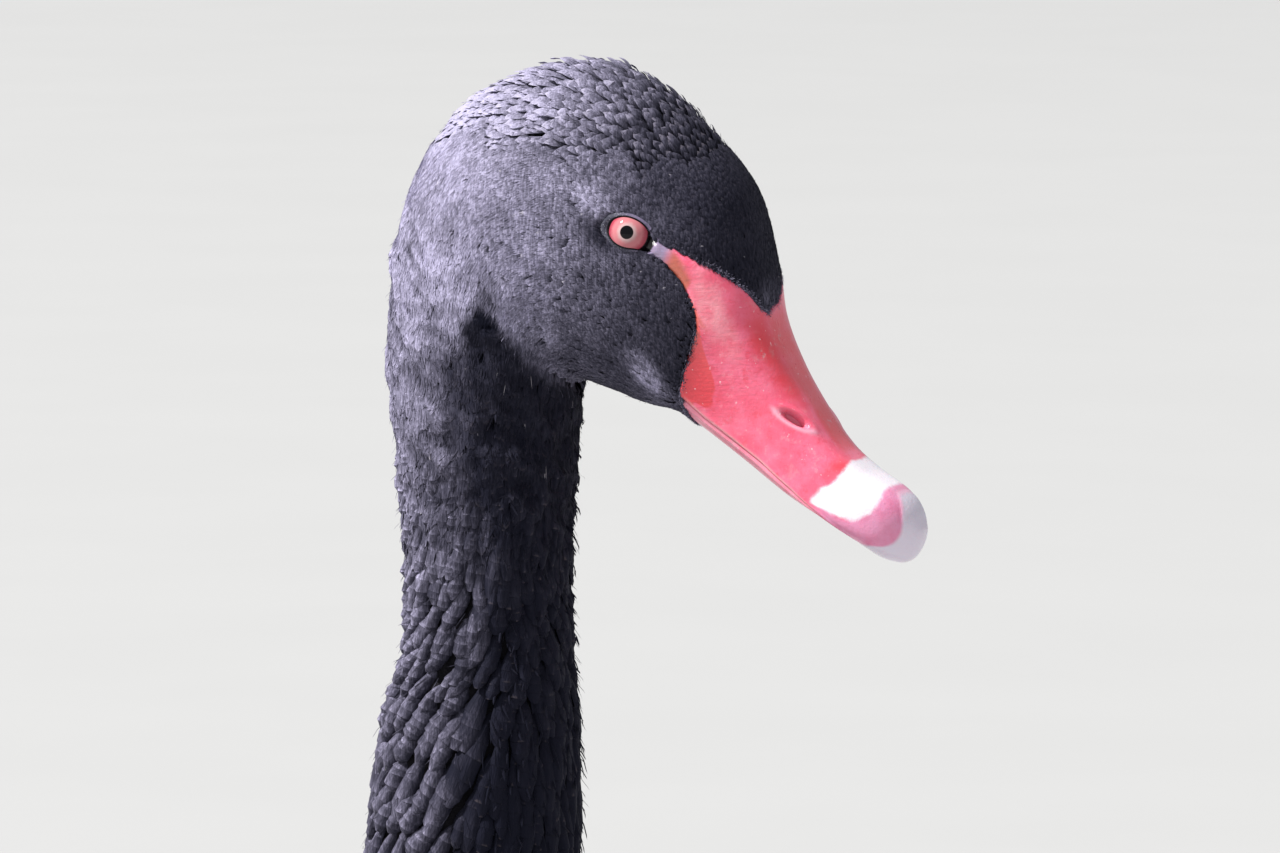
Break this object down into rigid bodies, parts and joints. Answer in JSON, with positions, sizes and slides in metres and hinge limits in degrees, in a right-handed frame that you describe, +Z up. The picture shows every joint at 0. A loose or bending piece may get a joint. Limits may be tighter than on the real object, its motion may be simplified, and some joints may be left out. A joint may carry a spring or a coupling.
{
  "type": "life-size model of a standing black swan",
  "caption": "Standing water bird with a tall upright neck, folded wings, short tail and webbed feet, as a still display model.",
  "frame": {"origin": "on the floor under the middle of the bounding box", "axes": "+X the way the bird faces, +Y its left side, +Z up"},
  "size_m": [0.683, 0.2556, 0.9593],
  "materials": {
    "plumage": "soft matte sooty-black contour feathers with paler grey-brown edges",
    "quill": "black vanes with grey-brown edges, the flight feathers white",
    "bill": "waxy coral-red horn with a white band and a pale grey nail",
    "eye": "wet red iris with a black pupil",
    "leg": "dark grey scaly skin, dull"
  },
  "bodies": {
    "root": {"head": "plumage", "bill_upper": "bill", "bill_lower": "bill", "eye_left": "eye", "eye_right": "eye", "neck_upper": "plumage", "neck_middle": "plumage", "neck_lower": "plumage", "torso": "plumage", "tail": "quill", "wing_left": "quill", "wing_right": "quill", "thigh_left": "plumage", "thigh_right": "plumage", "shank_left": "leg", "shank_right": "leg", "foot_left": "leg", "foot_right": "leg"}
  },
  "joints": []
}
